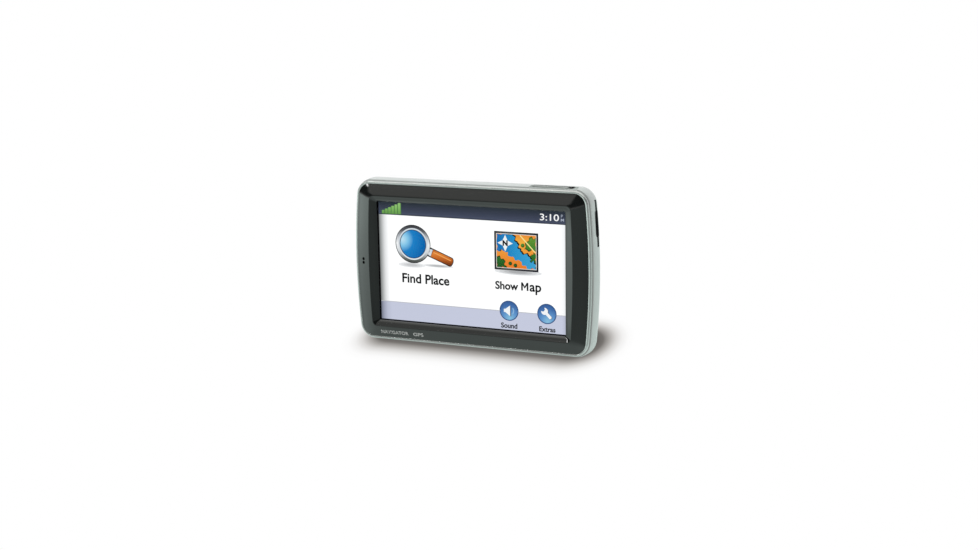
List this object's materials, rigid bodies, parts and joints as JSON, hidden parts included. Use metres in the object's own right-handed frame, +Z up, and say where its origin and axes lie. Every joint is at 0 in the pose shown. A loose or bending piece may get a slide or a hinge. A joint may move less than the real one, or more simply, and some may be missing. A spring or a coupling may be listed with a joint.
{
  "type": "portable gps navigator",
  "caption": "Flat portable satellite navigator with a wide touch screen in a dark domed bezel, silver rim and shell, sliding power key, side card slot, rear speaker and cradle socket.",
  "frame": {"origin": "under the middle of the object, on the plane its lower edge stands on", "axes": "+X to the right for someone facing the screen, +Y from the screen to the back, +Z up; the screen faces -Y"},
  "size_m": [0.146, 0.027, 0.0933],
  "materials": {
    "bezel_gloss": "dark grey gloss moulding",
    "trim_silver": "bright silver lacquer on plastic",
    "housing_silver": "fine metallic silver lacquer on plastic",
    "black_plastic": "fine texture",
    "key_grey": "satin",
    "rubber": "matt",
    "foam": "closed-cell foam",
    "touch_glass": "clear, thin anti-glare film",
    "display": "lit display",
    "clear_plastic": "clear, polished",
    "led": "lamps on a strip",
    "sheet_steel": "stamped, tinned",
    "screw_steel": "dark zinc",
    "gold": "gold plated",
    "silver_plate": "fired silver",
    "board_green": "solder mask",
    "chip_black": "moulded epoxy",
    "connector_cream": "natural nylon",
    "flex_amber": "polyimide film",
    "ceramic": "unglazed",
    "magnet_black": "coated ferrite and steel",
    "cone_paper": "coated paper",
    "battery_foil": "laminated pouch",
    "wire_red": "insulated wire",
    "card_plastic": "fine texture"
  },
  "bodies": {
    "navigator_body": {"antenna_board": "board_green", "antenna_coax": "rubber", "antenna_jack": "gold", "backlight_guide": "clear_plastic", "backlight_led_bar": "led", "backup_cell": "sheet_steel", "battery_cell": "battery_foil", "battery_wire": "wire_red", "bezel_gasket": "foam", "card_socket": "sheet_steel", "case_screw_bottom_left": "screw_steel", "case_screw_bottom_right": "screw_steel", "case_screw_top_left": "screw_steel", "case_screw_top_right": "screw_steel", "chassis_screw_bottom_left": "screw_steel", "chassis_screw_bottom_right": "screw_steel", "chassis_screw_top_left": "screw_steel", "chassis_screw_top_right": "screw_steel", "cradle_socket": "black_plastic", "dock_contacts": "gold", "flash_chip": "chip_black", "front_bezel": "bezel_gloss", "headphone_jack": "black_plastic", "lcd_connector": "connector_cream", "lcd_flex": "flex_amber", "lcd_frame": "sheet_steel", "lcd_panel": "display", "main_board": "board_green", "memory_chip": "chip_black", "microphone": "sheet_steel", "microphone_boot": "rubber", "mid_chassis": "sheet_steel", "patch_antenna": "ceramic", "patch_electrode": "silver_plate", "power_chip": "chip_black", "processor": "chip_black", "rear_housing": "housing_silver", "rf_shield": "sheet_steel", "slide_switch": "sheet_steel", "slider_spring": "sheet_steel", "speaker_basket": "sheet_steel", "speaker_cone": "cone_paper", "speaker_gasket": "foam", "speaker_grille": "black_plastic", "speaker_magnet": "magnet_black", "speaker_wire": "wire_red", "touch_connector": "connector_cream", "touch_flex": "flex_amber", "touch_panel": "touch_glass", "trim_ring": "trim_silver", "usb_connector": "sheet_steel"},
    "power_slider": {"power_slider": "key_grey", "slide_switch_knob": "black_plastic"},
    "memory_card": {"memory_card": "card_plastic"},
    "antenna_cap": {"antenna_cap": "rubber"}
  },
  "joints": [
    {"name": "power_slide", "type": "slide", "parent": "navigator_body", "child": "power_slider", "axis": [1, 0, 0], "range_m": [0, 0.0025], "stiffness_N_per_m": 300, "springref_m": -0.001, "deforming": ["slider_spring"]},
    {"name": "card_slide", "type": "slide", "parent": "navigator_body", "child": "memory_card", "axis": [1, 0, 0], "range_m": [-0.0009, 0.034]},
    {"name": "cap_hinge", "type": "hinge", "parent": "navigator_body", "child": "antenna_cap", "pos_m": [-0.048, 0.0134, 0.07845], "axis": [1, 0, 0], "range_deg": [0, 110]}
  ]
}
